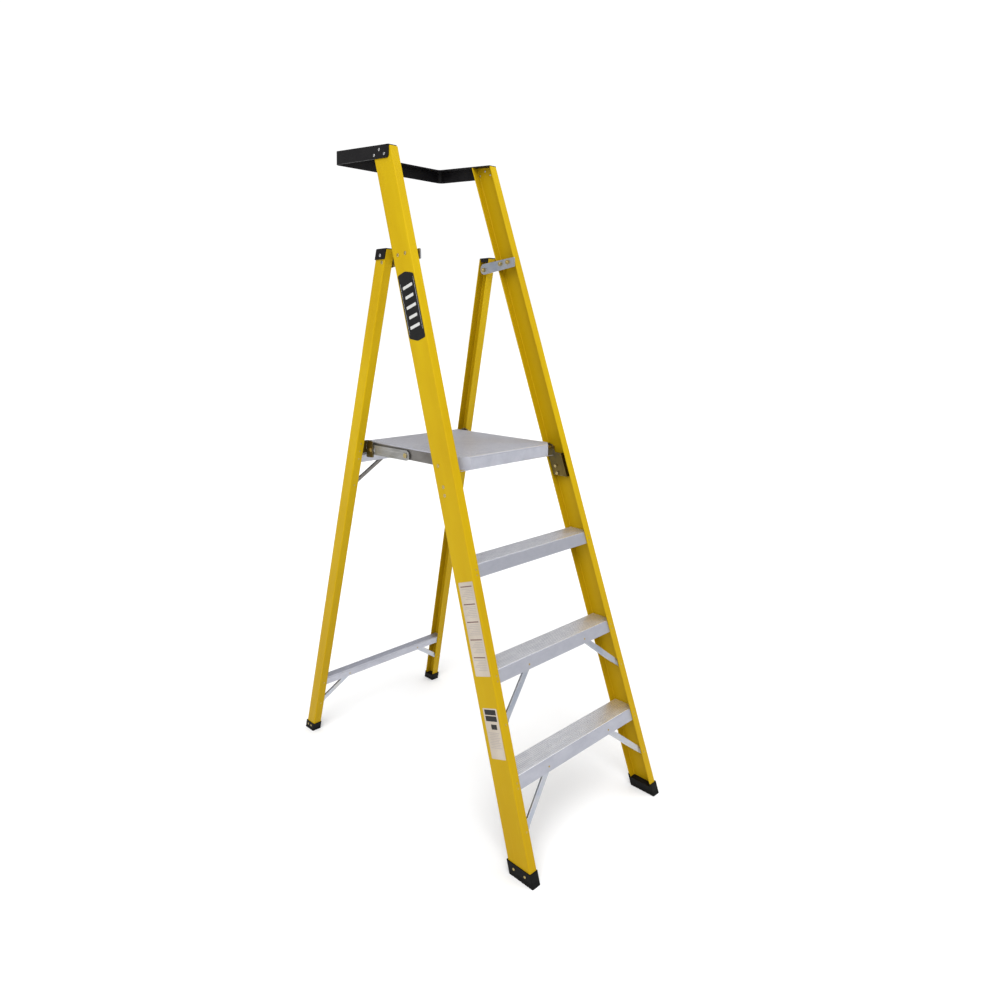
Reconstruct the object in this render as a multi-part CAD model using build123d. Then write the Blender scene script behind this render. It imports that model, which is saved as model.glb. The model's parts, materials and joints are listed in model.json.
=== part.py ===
from build123d import *

import os
from math import atan2, cos, degrees, hypot, radians, sin, sqrt

# Platform step ladder, open and standing on its feet. Millimetres, +Z up, +Y from the climbing side
# towards the rear legs, +X to the climber's right. The origin is on the floor, in the middle of the
# footprint. Every left-hand piece is the mirror image, about x = 0, of the right-hand one.

# --- Driving dimensions ------------------------------------------------------------------------

step_rise = 300.0
step_count = 3
deck_top = step_rise * (step_count + 1)
footprint = 1254.0

# Rails are channels that open towards the middle. Depth, flange and walls are level cuts.
front_foot_x, front_head_x = 322.0, 222.5
front_head_z, front_run = 2117.0, 708.0
front_depth, front_flange = 91.0, 28.6
front_web_t, front_flange_t = 4.0, 4.3
rear_foot_x, rear_head_x = 325.0, 236.0
rear_head_z, rear_run = 1818.0, -479.0
rear_depth, rear_flange = 50.5, 31.0
rear_web_t, rear_flange_t = 3.6, 3.7

sheet_t = 2.6
strap_t = 3.0
plate_t = 4.0
rib_h, rib_w, rib_pitch = 0.9, 1.4, 7.0

tread_front_lip, tread_rear_lip = 37.0, 24.0
tread_end_gap = 4.0
tread_rivet_drops, tread_rear_rivet_drop = (14.0, 29.0), 15.0
tread_rib_start, tread_rib_end = 7.0, 5.0

deck_front_y, deck_rear_y = -217.0, 290.0
deck_half_x = 210.0
deck_lip = 41.0
deck_corner = 34.0
skirt_t, skirt_h, skirt_w = 3.0, 36.0, 24.0

guard_t, guard_flange = 3.2, 28.0
guard_front_y, guard_rear_y = 85.0, 376.0
guard_rise = 4.5
guard_front_h, guard_rear_h = 37.0, 40.0
guard_corner_r = 9.0

# Pivots, as (y, z) in the ladder's side view. All their axes lie along x.
hinge_yz = (121.0, 1780.0)
deck_pivot_yz = (-169.0, 1177.0)
link_rear_yz = (245.0, 1172.0)
pivot_r = 4.0
pivot_gap = 0.08
face_gap = 0.35

link_t, link_h = 4.5, 34.0
link_x = deck_half_x + 2.0
bracket_t = 3.5

rivet_r, rivet_head_r, rivet_head_h = 2.4, 4.4, 1.7
flange_head_r, flange_head_h, flange_rivet_inset = 3.2, 1.0, 18.0
# Low heads on the outer faces of the webs: width over flats, height, washer radius and thickness.
low_head = (9.0, 1.3, 5.4, 0.6)


# --- Rails as lines ----------------------------------------------------------------------------


class Rail:
    """A right-hand channel rail: x and y of its outer front corner run linearly with height."""

    def __init__(self, foot_x, head_x, foot_y, run, head_z, depth, flange, web_t, flange_t):
        self.foot_x, self.foot_y, self.head_z = foot_x, foot_y, head_z
        self.depth, self.flange, self.web_t, self.flange_t = depth, flange, web_t, flange_t
        self.dx, self.dy = (head_x - foot_x) / head_z, run / head_z
        self.direction = Vector(self.dx, self.dy, 1).normalized()
        self.web_out = Vector(1, 0, -self.dx).normalized()
        self.face_out = Vector(0, -1, self.dy).normalized()

    def x(self, z):
        """Outer face of the web."""
        return self.foot_x + self.dx * z

    def x_in(self, z):
        """Inner face of the web."""
        return self.x(z) - self.web_t

    def x_tip(self, z):
        """Tips of the flanges."""
        return self.x(z) - self.flange

    def y(self, z):
        """Front face."""
        return self.foot_y + self.dy * z

    def y_in(self, z):
        """Inner face of the front flange."""
        return self.y(z) + self.flange_t

    def y_rear_in(self, z):
        """Inner face of the rear flange."""
        return self.y(z) + self.depth - self.flange_t

    def on_web(self, y, z, inset=0.0):
        """A point of the web's outer face, or that far in from it."""
        return Vector(self.x(z) - inset, y, z)

    def prism(self, section, z_low, z_high):
        """A level section, drawn with its origin on the corner line, swept along the rail."""
        length = (z_high - z_low) / self.direction.Z
        base = Pos(self.x(z_low), self.y(z_low), z_low) * section
        return extrude(base, length, dir=self.direction)


front = Rail(front_foot_x, front_head_x, -footprint / 2, front_run, front_head_z,
             front_depth, front_flange, front_web_t, front_flange_t)
rear = Rail(rear_foot_x, rear_head_x, footprint / 2 - rear_depth, rear_run, rear_head_z,
            rear_depth, rear_flange, rear_web_t, rear_flange_t)


# --- Helpers -----------------------------------------------------------------------------------

nodes = {}


def add(name, *solids):
    """Keeps one node, made of one or more separate solids."""
    nodes[name] = solids[0] if len(solids) == 1 else Compound(children=list(solids))


def mirrored(shape):
    """The left-hand twin of a right-hand shape."""
    return mirror(shape, about=Plane.YZ)


def add_pair(name, shape):
    """Keeps a right-hand piece and its left-hand twin as two nodes."""
    add(name + "_right", shape)
    add(name + "_left", mirrored(shape))


def add_group(name, shapes):
    """Keeps right-hand fasteners and their left-hand twins as separate solids of one node."""
    add(name, *[twin for shape in shapes for twin in (shape, mirrored(shape))])


def level_box(x0, x1, y0, y1, z0, z1):
    return Pos(x0, y0, z0) * Box(x1 - x0, y1 - y0, z1 - z0, align=(Align.MIN,) * 3)


def drum(yz, x0, x1, radius):
    """A cylinder along x between x0 and x1."""
    axis = Plane(origin=(x0, yz[0], yz[1]), x_dir=(0, 1, 0), z_dir=(1, 0, 0))
    return axis * Cylinder(radius, x1 - x0, align=(Align.CENTER, Align.CENTER, Align.MIN))


def rivet(point, out, grip, radius=rivet_r, head_r=rivet_head_r, head_h=rivet_head_h):
    """A domed rivet: its head stands out from point, its shank goes in by grip to a formed tail."""
    low = (Align.CENTER, Align.CENTER, Align.MIN)
    head = Cylinder(head_r, head_h, align=low)
    head = fillet(head.edges().sort_by(Axis.Z)[-1], head_h * 0.85)
    shank = Pos(0, 0, -grip) * Cylinder(radius, grip, align=low)
    tail = Pos(0, 0, -grip - head_h * 0.8) * Cylinder(head_r * 0.8, head_h * 0.8, align=low)
    tail = chamfer(tail.edges().sort_by(Axis.Z)[0], head_h * 0.3)
    return Plane(origin=point, z_dir=out) * (head + shank + tail)


def flange_rivet(point, out, grip):
    """A rivet with the small low head that the flanges and crosspieces carry."""
    return rivet(point, out, grip, rivet_r, flange_head_r, flange_head_h)


def hex_bolt(point, out, grip, radius, head_w, head_h, washer_r, washer_h):
    """A bolt with a flanged hexagon head; its shank goes in from point by grip."""
    low = (Align.CENTER, Align.CENTER, Align.MIN)
    washer = Cylinder(washer_r, washer_h, align=low)
    hexagon = Pos(0, 0, washer_h) * extrude(RegularPolygon(head_w / 2, 6, major_radius=False), head_h)
    hexagon = chamfer(hexagon.edges().group_by(Axis.Z)[-1], 0.7)
    shank = Pos(0, 0, -grip) * Cylinder(radius, grip, align=low)
    shank = chamfer(shank.edges().sort_by(Axis.Z)[0], 0.6)
    return Plane(origin=point, z_dir=out) * (washer + hexagon + shank)


def hex_nut(point, out, radius, nut_w=13.0, nut_h=6.5):
    """A nut seated at point, standing out from it."""
    low = (Align.CENTER, Align.CENTER, Align.MIN)
    body = extrude(RegularPolygon(nut_w / 2, 6, major_radius=False), nut_h)
    body = chamfer(body.edges().group_by(Axis.Z)[-1], 0.7)
    return Plane(origin=point, z_dir=out) * (body - Cylinder(radius, 3 * nut_h, align=low))


def ribs(y0, y1, z):
    """Low anti-slip ribs across the top of a tread or deck, as rectangles of its profile."""
    count = int((y1 - y0) // rib_pitch)
    start = (y0 + y1 - count * rib_pitch) / 2
    return [Pos(start + rib_pitch * k, z) * Rectangle(rib_w, 2 * rib_h) for k in range(count + 1)]


def folded_sheet(points, radius, thickness, half_length, ridges=()):
    """A sheet bent along points of the side view (y, z), running along x to both sides."""
    profile = trace(FilletPolyline(*points, radius=radius), line_width=thickness)
    for ridge in ridges:
        profile += ridge
    return extrude(Plane.YZ * profile, half_length, both=True)


def rounded_plate(yz_points, radius, x0, x1):
    """A flat plate in the side view, with its corners rounded, between x0 and x1."""
    outline = make_face(FilletPolyline(*yz_points, radius=radius, close=True))
    side = Plane(origin=(x0, 0, 0), x_dir=(0, 1, 0), z_dir=(1, 0, 0))
    return extrude(side * outline, x1 - x0)


# --- Rails, shoes and caps ---------------------------------------------------------------------


def channel_section(rail, outer_r=3.5, inner_r=2.5, tip_r=1.2):
    """The rail's level section, with rounded corners, drawn from its outer front corner."""
    corner = (Align.MAX, Align.MIN)
    body = Rectangle(rail.flange, rail.depth, align=corner)
    hollow = Pos(-rail.web_t, rail.flange_t) * Rectangle(
        rail.flange, rail.depth - 2 * rail.flange_t, align=corner)
    section = body - hollow
    across = section.vertices().group_by(Axis.X)
    section = fillet(across[0], tip_r)
    section = fillet(section.vertices().group_by(Axis.X)[-1], outer_r)
    inner = [v for v in section.vertices() if abs(v.X + rail.web_t) < 0.01]
    return fillet(inner, inner_r)


def shoe(rail, rail_solid, height, plug_z, wrap=3.2, groove=3.0):
    """A rubber boot: a sole and a plug inside the channel, and a collar around the outside."""
    outline = Pos(wrap, -wrap) * Rectangle(
        rail.flange + 1.6 * wrap, rail.depth + 2 * wrap, align=(Align.MAX, Align.MIN))
    outline = fillet(outline.vertices(), wrap)
    body = rail.prism(outline, 0, height)
    pocket = Pos(-rail.web_t, rail.flange_t) * Rectangle(
        2 * rail.flange, rail.depth - 2 * rail.flange_t, align=(Align.MAX, Align.MIN))
    body -= rail.prism(pocket, plug_z, height + 1)
    body -= rail_solid
    lowest = rail.y(0)
    for k in range(1, 6):
        y = lowest + k * rail.depth / 6
        body -= level_box(0, 2 * rail.foot_x, y - groove / 2, y + groove / 2, -1, 1.6)
    return body


def guard_plane(drop=0.0):
    """The guard's sloping top face, or a plane that far below it."""
    tilt = radians(guard_rise)
    return Plane(origin=(0, guard_front_y, front_head_z + 1.0 - drop),
                 x_dir=(1, 0, 0), z_dir=(0, -sin(tilt), cos(tilt)))


sole_t = 8.0
front_shoe_h, rear_shoe_h = 40.0, 32.0

front_rail = front.prism(channel_section(front), sole_t, front_head_z + 40)
front_rail = split(front_rail, bisect_by=guard_plane(guard_t), keep=Keep.BOTTOM)
rear_rail = rear.prism(channel_section(rear), sole_t, rear_head_z)

front_shoe = shoe(front, front_rail, front_shoe_h, 30.0)
rear_shoe = shoe(rear, rear_rail, rear_shoe_h, 24.0)

shoe_wall = 3.2
front_shoe_rivets = [
    rivet(front.on_web(front.y(24) + front.depth * part, 24, -shoe_wall), front.web_out,
          shoe_wall + front.web_t + 2)
    for part in (0.25, 0.75)]
rear_shoe_rivets = [
    rivet(rear.on_web(rear.y(20) + rear.depth * part, 20, -shoe_wall), rear.web_out,
          shoe_wall + rear.web_t + 2)
    for part in (0.3, 0.7)]

cap_side, cap_drop, cap_t = 2.6, 29.0, 3.0


def rear_cap():
    """A plastic cap: a top over the channel's end and a cheek down the outer face of its web."""
    outline = Pos(cap_side, 0) * Rectangle(
        rear.flange + cap_side, rear.depth, align=(Align.MAX, Align.MIN))
    body = rear.prism(fillet(outline.vertices(), 2.4), rear_head_z, rear_head_z + cap_t)
    cheek = Pos(cap_side, 0) * Rectangle(cap_side, rear.depth, align=(Align.MAX, Align.MIN))
    body += rear.prism(cheek, rear_head_z - cap_drop, rear_head_z + cap_t / 2)
    plug = Pos(-rear.web_t - 1.0, rear.flange_t + 1.0) * Rectangle(
        rear.flange - rear.web_t - 4, rear.depth - 2 * rear.flange_t - 2, align=(Align.MAX, Align.MIN))
    return body + rear.prism(fillet(plug.vertices(), 2.0), rear_head_z - 10, rear_head_z)


rear_cap_solid = rear_cap()
cap_rivet_z = rear_head_z - 17
rear_cap_rivets = [
    rivet(rear.on_web(rear.y(cap_rivet_z) + rear.depth * 0.5, cap_rivet_z, -cap_side), rear.web_out,
          cap_side + rear.web_t, rivet_r, 5.2, 2.0)]


# --- Treads and their braces -------------------------------------------------------------------


def tread(z_top):
    """A ribbed tread whose lips lie flat against the insides of the rails' flanges."""
    half = sheet_t / 2
    top = z_top - rib_h - half
    # The lips lean with the rails, so half a sheet measured level is a little more than half.
    level_half = half * sqrt(1 + front.dy ** 2)
    y_front = front.y_in(top) + level_half
    y_rear = front.y_rear_in(top) - level_half
    points = [
        (y_front - front.dy * tread_front_lip, top - tread_front_lip),
        (y_front, top),
        (y_rear, top),
        (y_rear - front.dy * tread_rear_lip, top - tread_rear_lip),
    ]
    ridges = ribs(y_front + tread_rib_start, y_rear - tread_rib_end, z_top - rib_h)
    half_length = front.x_in(z_top) - tread_end_gap
    return folded_sheet(points, 3.4, sheet_t, half_length, ridges)


def tread_rivets(z_top):
    """Two rivets through each front flange and one through each rear flange."""
    found = []
    wall = front.flange_t / sqrt(1 + front.dy ** 2)
    for drop in tread_rivet_drops:
        z = z_top - drop
        point = Vector(front.x(z) - flange_rivet_inset, front.y(z), z)
        found.append(flange_rivet(point, front.face_out, wall + sheet_t))
    z = z_top - tread_rear_rivet_drop
    point = Vector(front.x(z) - flange_rivet_inset, front.y(z) + front.depth, z)
    found.append(flange_rivet(point, -front.face_out, wall + sheet_t))
    return found


def brace(rail, low, high, step, width, lip_h=7.0):
    """A pressed strap behind a flange. low is on the flange's inner face and high is on the
    crosspiece, whose sheet stands step behind the flange. Edges are turned up between the ends."""
    span = high - low
    length = span.length
    back = -rail.face_out
    half = strap_t / 2
    frame = Plane(origin=low, x_dir=span.normalized(), z_dir=span.normalized().cross(back))
    end = 11.0
    route = [(-end, half), (end + 2, half), (end + 10, step + half), (length + end, step + half)]
    strap = extrude(frame * trace(FilletPolyline(*route, radius=3), line_width=strap_t),
                    width / 2, both=True)
    face = Plane(origin=low, x_dir=span.normalized(), z_dir=back)
    outline = Pos(length / 2, 0) * SlotOverall(length + 2 * end, width)
    strap &= extrude(face * outline, 40, both=True)
    for side in (-1, 1):
        edge = face * (Pos(length / 2 + 8, side * (width - 2) / 2, step + lip_h / 2)
                       * Box(length - 52, 2, lip_h))
        strap += edge
    return strap


def flange_point(rail, z, inset):
    """A point of the front flange's inner face, inset from the web's outer face."""
    return Vector(rail.x(z) - inset, rail.y_in(z), z)


def brace_with_rivets(rail, z_low, z_high, inset, run, step, width):
    """A brace from the flange at z_low to the crosspiece at z_high, and its two rivets."""
    low = flange_point(rail, z_low, inset)
    high = Vector(low.X - run, rail.y_in(z_high), z_high)
    strap = brace(rail, low, high, step, width)
    back = -rail.face_out
    wall = rail.flange_t / sqrt(1 + rail.dy ** 2)
    rivets = [flange_rivet(low - back * wall, rail.face_out, wall + strap_t),
              flange_rivet(high, rail.face_out, step + strap_t)]
    return strap, rivets


treads = {}
all_tread_rivets = []
all_tread_brace_rivets = []
tread_braces = {}
for number in range(1, step_count + 1):
    height = number * step_rise
    treads[number] = tread(height)
    all_tread_rivets += tread_rivets(height)
    if number < step_count:
        strap, strap_rivets = brace_with_rivets(
            front, height - 152, height - 25, inset=18.5, run=148, step=sheet_t, width=19)
        tread_braces[number] = strap
        all_tread_brace_rivets += strap_rivets


# --- Rear crossbars ----------------------------------------------------------------------------


def crossbar(z_top, height):
    """A ribbed bar between the rear rails, its two lips flat against their flanges."""
    half = sheet_t / 2
    top = z_top - rib_h - half
    level_half = half * sqrt(1 + rear.dy ** 2)
    drop = height - rib_h - half
    y_front = rear.y_in(top) + level_half
    y_rear = rear.y_rear_in(top) - level_half
    points = [
        (y_front - rear.dy * drop, top - drop),
        (y_front, top),
        (y_rear, top),
        (y_rear - rear.dy * drop, top - drop),
    ]
    ridges = ribs(y_front + 4, y_rear - 4, z_top - rib_h)
    return folded_sheet(points, 3.0, sheet_t, rear.x_in(z_top) - tread_end_gap, ridges)


def crossbar_rivets(z):
    """One rivet through each flange, front and rear."""
    grip = rear.flange_t / sqrt(1 + rear.dy ** 2) + sheet_t
    points = ((rear.y(z), rear.face_out), (rear.y(z) + rear.depth, -rear.face_out))
    return [flange_rivet(Vector(rear.x(z) - flange_rivet_inset, y, z), out, grip) for y, out in points]


lower_bar_top, upper_bar_top, bar_h = 238.0, 1157.0, 31.0
bar_rivet_drop = 17.0
lower_bar = crossbar(lower_bar_top, bar_h)
upper_bar = crossbar(upper_bar_top, bar_h)
bar_rivets = crossbar_rivets(lower_bar_top - bar_rivet_drop)
bar_rivets += crossbar_rivets(upper_bar_top - bar_rivet_drop)
lower_brace, lower_brace_rivets = brace_with_rivets(
    rear, lower_bar_top - 112, lower_bar_top - 20, inset=17, run=128, step=sheet_t, width=19)
upper_brace, upper_brace_rivets = brace_with_rivets(
    rear, upper_bar_top - 112, upper_bar_top - 19, inset=17, run=125, step=sheet_t, width=12)


# --- Guard -------------------------------------------------------------------------------------


def guard_block(out, rear_out, corner_r):
    """A block whose sides lie that far outside the rails' webs, open towards the front."""
    z0, z1 = front_head_z - 80, front_head_z + 60
    y0, y1 = guard_front_y, guard_rear_y + rear_out
    sections = []
    for z in (z0, z1):
        half_x = front.x(z) + out
        outline = Pos(0, y0, z) * Rectangle(2 * half_x, y1 - y0, align=(Align.CENTER, Align.MIN))
        sections.append(outline)
    block = loft(sections)
    rear_edges = [e for e in block.edges() if e.center().Y > y1 - 1 and abs(e.center().X) > 100]
    return fillet(rear_edges, corner_r)


def guard():
    """An angle bent to a U: a deep side outside the rails and a flange over their tops."""
    outer = guard_block(guard_t, guard_t, 18.0)
    inner = guard_block(0.0, 0.0, 18.0 - guard_t)
    body = split(outer, bisect_by=guard_plane(), keep=Keep.BOTTOM)
    body -= split(inner, bisect_by=guard_plane(guard_t), keep=Keep.BOTTOM)
    window_x = front.x(front_head_z) - guard_flange
    window = level_box(-window_x, window_x, guard_front_y - 10, guard_rear_y - guard_flange,
                       front_head_z - 100, front_head_z + 100)
    window = fillet([e for e in window.edges()
                     if e.center().Y > guard_rear_y - guard_flange - 1
                     and abs(e.center().X) > window_x - 1], 14.0)
    body -= window
    # The lower edge climbs less than the top does, so the sides grow deeper towards the rear.
    tilt = radians(guard_rise)
    run = guard_rear_y - guard_front_y
    climb = atan2(run * sin(tilt) + guard_front_h - guard_rear_h, run)
    floor = Plane(origin=(0, guard_front_y, front_head_z - guard_front_h),
                  x_dir=(1, 0, 0), z_dir=(0, -sin(climb), cos(climb)))
    body = split(body, bisect_by=floor, keep=Keep.TOP)
    lower_corners = [e for e in body.edges()
                     if abs(e.center().Y - guard_front_y) < 0.5 and e.length < 2 * guard_t
                     and e.center().Z < front_head_z - guard_front_h + 1]
    return fillet(lower_corners, guard_corner_r)


guard_solid = guard()
guard_rivets = [
    rivet(front.on_web(y, z, -guard_t), front.web_out, guard_t + front.web_t)
    for y, z in ((107, 2093.5), (132, 2108.5), (158, 2096.0))]


# --- Rear hinge --------------------------------------------------------------------------------

hinge_plate_in = 200.3
hinge_plate_out = hinge_plate_in + plate_t
hinge_eye_r = 18.0


def hinge_plate():
    """A flat arm from the front rail to a round end about the rear rail's pivot."""
    y, z = hinge_yz
    end_y, end_z = y - 2, z + 3
    front_y = front.y(z) + 3
    arm = rounded_plate([(front_y, z + 4), (front_y, z + 35), (end_y, end_z + hinge_eye_r),
                         (end_y, end_z - hinge_eye_r)], 3.0, hinge_plate_in, hinge_plate_out)
    arm += drum((end_y, end_z), hinge_plate_in, hinge_plate_out, hinge_eye_r)
    return arm - drum(hinge_yz, 0, 300, pivot_r + pivot_gap)


def sleeve(yz, x0, x1, bore, radius=7.5):
    """A spacer tube along x."""
    return drum(yz, x0, x1, radius) - drum(yz, x0 - 1, x1 + 1, bore)


hinge_bolt_yz = [(2.0, 1800.0), (38.0, 1796.0)]
hinge_bolt_r = 4.0
hinge_plate_solid = hinge_plate()
hinge_front_bolts, hinge_front_nuts, hinge_front_spacers = [], [], []
along_x = Vector(1, 0, 0)
for yz in hinge_bolt_yz:
    seat = front.x(yz[1] - low_head[2])
    hinge_front_bolts.append(
        hex_bolt(Vector(seat, *yz), along_x, seat - hinge_plate_in + 8, hinge_bolt_r, *low_head))
    hinge_front_nuts.append(hex_nut(Vector(hinge_plate_in, *yz), -along_x, hinge_bolt_r))
    hinge_front_spacers.append(sleeve(yz, hinge_plate_out, front.x_in(yz[1] + 8), hinge_bolt_r))

hinge_seat = rear.x(hinge_yz[1] - low_head[2])
hinge_pivot_bolt = hex_bolt(Vector(hinge_seat, *hinge_yz), along_x,
                            hinge_seat - hinge_plate_in + 9.5, pivot_r, *low_head)
hinge_pivot_nut = hex_nut(Vector(hinge_plate_in - face_gap, *hinge_yz), -along_x, pivot_r)
hinge_pivot_spacer = sleeve(hinge_yz, hinge_plate_out + face_gap, rear.x_in(hinge_yz[1] + 8), pivot_r)


# --- Platform ----------------------------------------------------------------------------------

skirt_front_y = deck_front_y + deck_corner + sheet_t


def deck():
    """A ribbed deck with cut front corners and a lip turned down at its front and at its rear."""
    half = sheet_t / 2
    top = deck_top - rib_h - half
    drop = deck_lip - rib_h - half
    y0, y1 = deck_front_y + half, deck_rear_y - half
    points = [(y0 + 12, top - drop), (y0, top - drop), (y0, top), (y1, top), (y1, top - drop),
              (y1 - 12, top - drop)]
    sheet = folded_sheet(points, 4.0, sheet_t, deck_half_x, ribs(y0 + 9, y1 - 9, deck_top - rib_h))
    tip = make_face(Polyline((deck_half_x + 1, deck_front_y - 1),
                             (deck_half_x + 1, deck_front_y + deck_corner + 1),
                             (deck_half_x - deck_corner - 1, deck_front_y - 1), close=True))
    tip = extrude(Pos(0, 0, deck_top - deck_lip - 1) * tip, deck_lip + 2)
    sheet -= [tip, mirrored(tip)]
    # A lip along each cut, from the front lip to the skirt.
    inward = sheet_t / sqrt(2)
    low = (deck_half_x - deck_corner, deck_front_y)
    high = (deck_half_x, deck_front_y + deck_corner)
    wall = make_face(Polyline(low, high, (high[0] - inward, high[1] + inward),
                              (low[0] - inward, low[1] + inward), (low[0] - sheet_t, low[1]), close=True))
    wall = extrude(Pos(0, 0, deck_top - deck_lip) * wall, deck_lip - rib_h - half)
    return sheet + wall + mirrored(wall)


def skirt():
    """A channel under one side of the deck, open towards the middle."""
    top = deck_top - rib_h - sheet_t
    x = deck_half_x - 1.0
    y0, y1 = skirt_front_y, deck_rear_y - sheet_t - 3
    body = level_box(x - skirt_w, x, y0, y1, top - skirt_h, top)
    inside = level_box(x - skirt_w - 1, x - skirt_t, y0 - 1, y1 + 1,
                       top - skirt_h + skirt_t, top - skirt_t)
    return body - inside


deck_solid = deck()
skirt_solid = skirt()
skirt_out = deck_half_x - 1.0
skirt_in = skirt_out - skirt_t
deck_rivet_x = deck_half_x - 14
deck_rivet_count, deck_rivet_end = 5, 46.0
deck_rivets = []
for k in range(deck_rivet_count):
    span = deck_rear_y - deck_front_y - 2 * deck_rivet_end
    y = deck_front_y + deck_rivet_end + k * span / (deck_rivet_count - 1)
    y = deck_front_y + round((y - deck_front_y) / rib_pitch) * rib_pitch
    seat = Vector(deck_rivet_x, y, deck_top - rib_h)
    deck_rivets.append(rivet(seat, Vector(0, 0, 1), sheet_t + skirt_t, rivet_r, 4.0, 0.9))


# --- Platform pivot bracket on the front rail ---------------------------------------------------

box_depth = 26.0
box_front_gap, box_rear_gap = 18.0, 4.5
box_low, box_shoulder, box_high = 1082.0, 1163.0, 1189.0
box_ear = 14.0


def pivot_bracket():
    """A pressed box inside the rail's channel, cut down in front of the ear around the pivot."""
    width = front.depth - 2 * front.flange_t - box_front_gap - box_rear_gap
    face = Rectangle(box_depth - front.web_t, width, align=(Align.MAX, Align.MIN))
    face = fillet(face.vertices().group_by(Axis.X)[0], 4.0)
    start = front.flange_t + box_front_gap
    body = front.prism(Pos(-front.web_t, start) * face, box_low, box_high)
    hollow = Pos(-front.web_t + 1, start + bracket_t) * Rectangle(
        box_depth - front.web_t - bracket_t + 1, width - 2 * bracket_t, align=(Align.MAX, Align.MIN))
    body -= front.prism(hollow, box_low - 5, box_high + 5)
    ear_y = deck_pivot_yz[0] - box_ear
    front_y = front.y(box_low) - 10
    notch = make_face(Polyline(
        (front_y, box_shoulder - 6), (ear_y - 6, box_shoulder), (ear_y, box_high - 8),
        (ear_y + 7, box_high + 1), (front_y, box_high + 1), close=True))
    side = Plane(origin=(front_head_x - 50, 0, 0), x_dir=(0, 1, 0), z_dir=(1, 0, 0))
    return body - extrude(side * notch, front_foot_x)


def box_face(z):
    """Inner face of the pivot bracket, towards the deck."""
    return front.x(z) - box_depth


pivot_bracket_solid = pivot_bracket()
bracket_bolts, bracket_nuts = [], []
bracket_bolt_r = 3.0
for y, z in ((-202.0, 1091.0), (-195.0, 1116.0)):
    grip = box_depth + 7
    outer = front.on_web(y, z)
    bracket_bolts.append(hex_bolt(outer, front.web_out, grip, bracket_bolt_r, *low_head))
    inner = outer - front.web_out * (box_depth / sqrt(1 + front.dx ** 2))
    bracket_nuts.append(hex_nut(inner, -front.web_out, bracket_bolt_r, 10.0, 5.0))

pivot_seat = front.x(deck_pivot_yz[1] - low_head[2])
deck_pivot_bolt = hex_bolt(Vector(pivot_seat, *deck_pivot_yz), along_x, pivot_seat - skirt_in + 9,
                           pivot_r, *low_head)
deck_pivot_nut = hex_nut(Vector(skirt_in - face_gap, *deck_pivot_yz), -along_x, pivot_r)
deck_pivot_spacer = sleeve(deck_pivot_yz, skirt_out + face_gap, box_face(deck_pivot_yz[1] + 8), pivot_r)


# --- Spreader links ----------------------------------------------------------------------------


def turned(yz, centre, angle):
    """A side-view point turned about a centre; positive lifts +y towards +z."""
    a = radians(angle)
    dy, dz = yz[0] - centre[0], yz[1] - centre[1]
    return (centre[0] + dy * cos(a) - dz * sin(a), centre[1] + dy * sin(a) + dz * cos(a))


# Folded shut, the rear legs stand parallel to the front ones and the deck parallel to both.
fold_angle = degrees(atan2(front.dy, 1) - atan2(rear.dy, 1))
shut_link_rear = turned(link_rear_yz, hinge_yz, -fold_angle)
open_reach = hypot(link_rear_yz[0] - deck_pivot_yz[0], link_rear_yz[1] - deck_pivot_yz[1])
shut_dy, shut_dz = (shut_link_rear[0] - deck_pivot_yz[0], shut_link_rear[1] - deck_pivot_yz[1])
shut_reach = hypot(shut_dy, shut_dz)
open_lean = degrees(atan2(link_rear_yz[1] - deck_pivot_yz[1], link_rear_yz[0] - deck_pivot_yz[0]))
deck_turn = 90.0 - degrees(atan2(front.dy, 1))
corner = cos(radians(deck_turn + open_lean - degrees(atan2(shut_dz, shut_dy))))
# Open, the knee lies straight between the two pivots; shut, the same two lengths still close.
knee_reach = (open_reach ** 2 - shut_reach ** 2) / (2 * (open_reach - shut_reach * corner))
knee_yz = (deck_pivot_yz[0] + knee_reach * cos(radians(open_lean)),
           deck_pivot_yz[1] + knee_reach * sin(radians(open_lean)))


def spreader_link():
    """A flat bar from the deck's side to the rear leg's bracket, with round ends."""
    length = open_reach - knee_reach
    bar = SlotCenterToCenter(length, link_h)
    middle = ((knee_yz[0] + link_rear_yz[0]) / 2, (knee_yz[1] + link_rear_yz[1]) / 2)
    side = Plane(origin=(link_x, *middle), x_dir=(0, 1, 0), z_dir=(1, 0, 0))
    body = extrude(side * (Rot(0, 0, open_lean) * bar), link_t)
    groove = extrude(side * (Rot(0, 0, open_lean) * SlotCenterToCenter(length - 34, 12)), 1.2)
    body -= Pos(link_t - 1.2, 0, 0) * groove
    return body


knee_head_h, knee_tail_h = 2.4, 3.0
knee_pin_r, knee_head_r, knee_tail_r, knee_washer_r = 4.5, 8.5, 7.5, 10.0
link_pin_r, link_pin_in, link_pin_out = 5.0, 1.5, 1.2
link_solid = spreader_link()
knee_head_in = link_x + link_t + face_gap
knee_pin = drum(knee_yz, skirt_in - knee_tail_h, knee_head_in, knee_pin_r)
knee_pin += drum(knee_yz, knee_head_in, knee_head_in + knee_head_h, knee_head_r)
knee_pin += drum(knee_yz, skirt_in - knee_tail_h, skirt_in, knee_tail_r)
knee_washer = drum(knee_yz, skirt_out, link_x - face_gap, knee_washer_r)
# The rear pin stays in the link and stops just short of the bracket, which has its own bolt.
link_rear_pin = drum(link_rear_yz, link_x - link_pin_in, link_x + link_t + link_pin_out, link_pin_r)

link_bracket_in = link_x + link_t + link_pin_out + face_gap
link_bracket_out = link_bracket_in + bracket_t


bracket_low, bracket_high = link_rear_yz[1] - 28, link_rear_yz[1] + 32
bracket_reach = 42.0
tab_low = upper_bar_top + 2.5
tab_level_t = bracket_t * sqrt(1 + rear.dy ** 2)


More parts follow.
